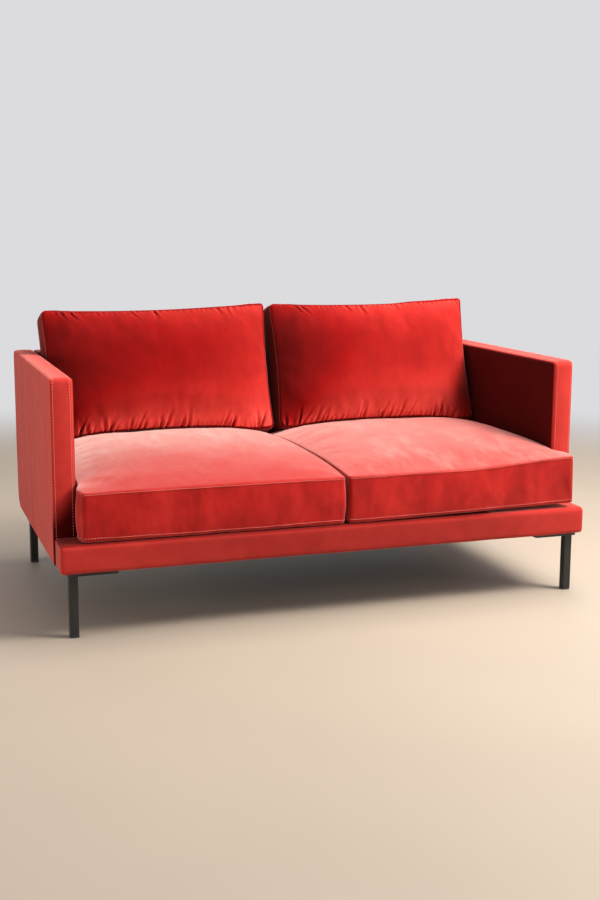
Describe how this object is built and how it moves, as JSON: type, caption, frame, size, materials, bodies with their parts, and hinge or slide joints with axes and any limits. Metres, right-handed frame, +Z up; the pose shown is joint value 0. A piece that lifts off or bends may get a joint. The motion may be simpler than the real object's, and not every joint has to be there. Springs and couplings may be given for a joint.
{
  "type": "settee",
  "caption": "Low velvet settee with thin square arms set back from the base, loose boxed seat and back cushions that lift off, and slim black bar legs.",
  "frame": {"origin": "on the floor under the middle of the settee's box", "axes": "+X along the width to the right as seen from the front, the front faces -Y, +Z up"},
  "size_m": [1.6, 0.94, 0.8524],
  "materials": {
    "velvet": "short-pile velvet",
    "cushion_fill": "foam and fibre",
    "foam": "open-cell foam",
    "felt": "needled felt",
    "lining": "non-woven cloth",
    "webbing": "woven strap",
    "timber": "planed, bare",
    "plywood": "sawn, bare",
    "hardboard": "pressed, bare",
    "steel": "bright",
    "black_metal": "satin powder coat",
    "glide": "moulded",
    "zip": "coil zip on tape"
  },
  "bodies": {
    "frame": {"arm_bolts": "steel", "back_cover": "velvet", "back_foam": "foam", "back_lower_rail": "timber", "back_panel": "hardboard", "back_ribs": "plywood", "back_top_rail": "timber", "back_webbing": "webbing", "centre_seat_rail": "timber", "corner_blocks": "timber", "deck_cloth": "lining", "deck_pad": "foam", "dust_cover": "lining", "front_cross_rail": "timber", "front_left_leg": "black_metal", "front_rail_blocks": "timber", "front_rail_board": "timber", "front_rail_cover": "velvet", "front_rail_foam": "foam", "front_rail_ledge": "timber", "front_right_leg": "black_metal", "left_arm_bottom_rail": "timber", "left_arm_cover": "velvet", "left_arm_foam": "foam", "left_arm_front_post": "timber", "left_arm_panels": "hardboard", "left_arm_rear_post": "timber", "left_arm_top_rail": "timber", "left_seat_rail": "timber", "leg_bolts": "steel", "leg_glides": "glide", "rear_left_leg": "black_metal", "rear_right_leg": "black_metal", "rear_seat_rail": "timber", "right_arm_bottom_rail": "timber", "right_arm_cover": "velvet", "right_arm_foam": "foam", "right_arm_front_post": "timber", "right_arm_panels": "hardboard", "right_arm_rear_post": "timber", "right_arm_top_rail": "timber", "right_seat_rail": "timber", "seat_springs": "steel", "spring_clips": "steel", "spring_insulator": "felt", "spring_rail": "timber"},
    "left_seat_cushion": {"left_seat_cushion_cover": "velvet", "left_seat_cushion_core": "cushion_fill", "left_seat_cushion_zip": "zip"},
    "left_back_cushion": {"left_back_cushion_cover": "velvet", "left_back_cushion_core": "cushion_fill", "left_back_cushion_zip": "zip"},
    "right_seat_cushion": {"right_seat_cushion_cover": "velvet", "right_seat_cushion_core": "cushion_fill", "right_seat_cushion_zip": "zip"},
    "right_back_cushion": {"right_back_cushion_cover": "velvet", "right_back_cushion_core": "cushion_fill", "right_back_cushion_zip": "zip"}
  },
  "joints": [
    {"name": "left_seat_lift", "type": "slide", "parent": "frame", "child": "left_seat_cushion", "axis": [0, 0, 1], "range_m": [0, 0.45]},
    {"name": "left_back_lift", "type": "slide", "parent": "left_seat_cushion", "child": "left_back_cushion", "axis": [0, 0, 1], "range_m": [0, 0.3]},
    {"name": "right_seat_lift", "type": "slide", "parent": "frame", "child": "right_seat_cushion", "axis": [0, 0, 1], "range_m": [0, 0.45]},
    {"name": "right_back_lift", "type": "slide", "parent": "right_seat_cushion", "child": "right_back_cushion", "axis": [0, 0, 1], "range_m": [0, 0.3]}
  ]
}
